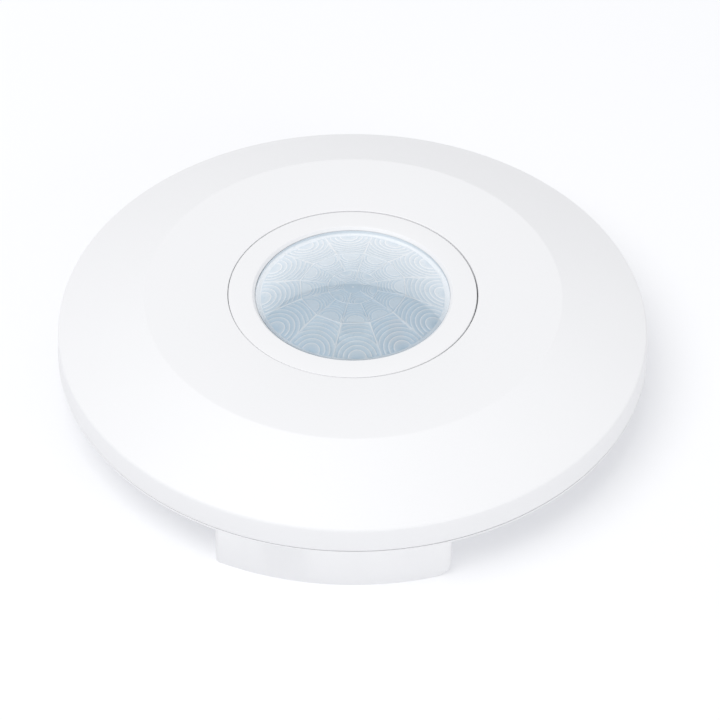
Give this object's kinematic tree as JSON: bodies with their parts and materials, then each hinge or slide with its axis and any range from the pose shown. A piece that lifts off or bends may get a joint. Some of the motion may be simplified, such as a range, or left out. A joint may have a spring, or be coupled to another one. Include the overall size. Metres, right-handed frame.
{
  "type": "motion sensor",
  "caption": "Slim round ceiling motion sensor: push-on cover disc with a sloping edge, segmented dome lens in a ring, and a cable chamber under the rim.",
  "frame": {"origin": "centre of the back face, on the ceiling side", "axes": "+Z out of the ceiling towards the room, -Y towards the cable chamber"},
  "size_m": [0.12, 0.12, 0.0228],
  "materials": {
    "white_plastic": "fine satin texture",
    "lens_plastic": "translucent, grooved inside",
    "black_plastic": "satin",
    "blue_board": "satin solder mask",
    "steel": "plated",
    "brass": "bright",
    "copper_winding": "enamelled wire",
    "grey_rubber": "matt",
    "blue_plastic": "satin",
    "yellow_plastic": "satin",
    "orange_plastic": "satin",
    "red_epoxy": "clear-tinted",
    "dark_window": "coated silicon"
  },
  "bodies": {
    "base": {"mounting_base": "white_plastic", "inner_cover": "white_plastic", "lens_bezel": "white_plastic", "fresnel_lens": "lens_plastic", "light_tunnel": "white_plastic", "cable_grommet": "grey_rubber", "circuit_board": "blue_board", "mains_capacitor": "yellow_plastic", "smoothing_capacitor": "black_plastic", "surge_varistor": "blue_plastic", "fuse": "black_plastic", "bridge_rectifier": "black_plastic", "dropper_resistor": "orange_plastic", "driver_transistor": "black_plastic", "status_led": "red_epoxy", "light_sensor": "orange_plastic", "pir_can": "steel", "pir_spacer": "black_plastic", "pir_window": "dark_window", "control_chip": "black_plastic", "relay_case": "blue_plastic", "relay_frame": "steel", "relay_coil": "copper_winding", "sensitivity_trimmer": "blue_plastic", "time_trimmer": "blue_plastic", "light_trimmer": "blue_plastic", "terminal_housing": "blue_plastic", "line_contact": "brass", "neutral_contact": "brass", "load_contact": "brass", "housing_screw_front_left": "steel", "housing_screw_front_right": "steel", "housing_screw_rear_right": "steel", "housing_screw_rear_left": "steel", "board_screw_left": "steel", "board_screw_right": "steel"},
    "cover": {"front_cover": "white_plastic"},
    "relay_armature": {"relay_armature": "steel"},
    "sensitivity_adjuster": {"sensitivity_adjuster": "orange_plastic"},
    "time_adjuster": {"time_adjuster": "orange_plastic"},
    "light_adjuster": {"light_adjuster": "orange_plastic"},
    "line_screw": {"line_clamp_screw": "steel"},
    "line_cage": {"line_clamp_cage": "brass"},
    "neutral_screw": {"neutral_clamp_screw": "steel"},
    "neutral_cage": {"neutral_clamp_cage": "brass"},
    "load_screw": {"load_clamp_screw": "steel"},
    "load_cage": {"load_clamp_cage": "brass"}
  },
  "joints": [
    {"name": "cover_pull", "type": "slide", "parent": "base", "child": "cover", "axis": [0, 0, 1], "range_m": [0, 0.04]},
    {"name": "sensitivity_turn", "type": "hinge", "parent": "base", "child": "sensitivity_adjuster", "pos_m": [-0.0149, 0.03056, 0.016], "axis": [0, 0, 1], "range_deg": [-135, 135]},
    {"name": "time_turn", "type": "hinge", "parent": "base", "child": "time_adjuster", "pos_m": [0, 0.034, 0.016], "axis": [0, 0, 1], "range_deg": [-135, 135]},
    {"name": "light_turn", "type": "hinge", "parent": "base", "child": "light_adjuster", "pos_m": [0.0149, 0.03056, 0.016], "axis": [0, 0, 1], "range_deg": [-135, 135]},
    {"name": "line_screw_turn", "type": "hinge", "parent": "base", "child": "line_screw", "pos_m": [-0.00508, -0.0302, 0.013], "axis": [0, 0, 1], "range_deg": [0, 865]},
    {"name": "line_cage_drop", "type": "slide", "parent": "base", "child": "line_cage", "axis": [0, 0, -1], "range_m": [0, 0.0012]},
    {"name": "neutral_screw_turn", "type": "hinge", "parent": "base", "child": "neutral_screw", "pos_m": [0, -0.0302, 0.013], "axis": [0, 0, 1], "range_deg": [0, 865]},
    {"name": "neutral_cage_drop", "type": "slide", "parent": "base", "child": "neutral_cage", "axis": [0, 0, -1], "range_m": [0, 0.0012]},
    {"name": "load_screw_turn", "type": "hinge", "parent": "base", "child": "load_screw", "pos_m": [0.00508, -0.0302, 0.013], "axis": [0, 0, 1], "range_deg": [0, 865]},
    {"name": "load_cage_drop", "type": "slide", "parent": "base", "child": "load_cage", "axis": [0, 0, -1], "range_m": [0, 0.0012]},
    {"name": "armature_pull", "type": "hinge", "parent": "base", "child": "relay_armature", "pos_m": [-0.02731, -0.01692, 0.0151], "axis": [0.7193, 0.6947, 0], "range_deg": [0, 3], "stiffness_Nm_per_rad": 0.01, "springref_deg": -1.72}
  ],
  "couplings": [
    {"joint": "line_screw_turn", "follows": "line_cage_drop", "rad_per_m": 12566},
    {"joint": "neutral_screw_turn", "follows": "neutral_cage_drop", "rad_per_m": 12566},
    {"joint": "load_screw_turn", "follows": "load_cage_drop", "rad_per_m": 12566}
  ]
}
